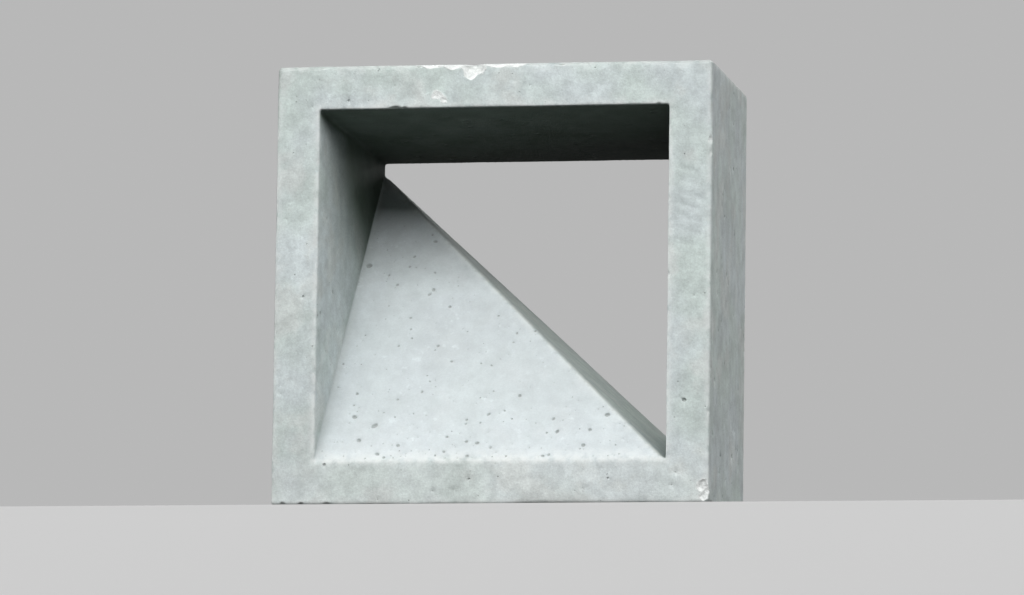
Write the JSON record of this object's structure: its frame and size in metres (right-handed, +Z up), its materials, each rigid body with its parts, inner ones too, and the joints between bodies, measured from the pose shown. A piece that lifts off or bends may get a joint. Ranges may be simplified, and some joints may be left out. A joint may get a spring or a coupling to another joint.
{
  "type": "concrete screen block",
  "caption": "Square concrete screen block, open front to back, with a sloping triangular facet inside that leaves a near-triangular air hole.",
  "frame": {"origin": "middle of the bottom bed face", "axes": "+X to the right seen from the front, +Y from the front face to the back face, +Z up"},
  "size_m": [0.2, 0.1, 0.2],
  "materials": {
    "concrete": "fair-faced cast concrete, pale cool grey, matt, with fine air pores"
  },
  "bodies": {
    "root": {"screen_block": "concrete"}
  },
  "joints": []
}
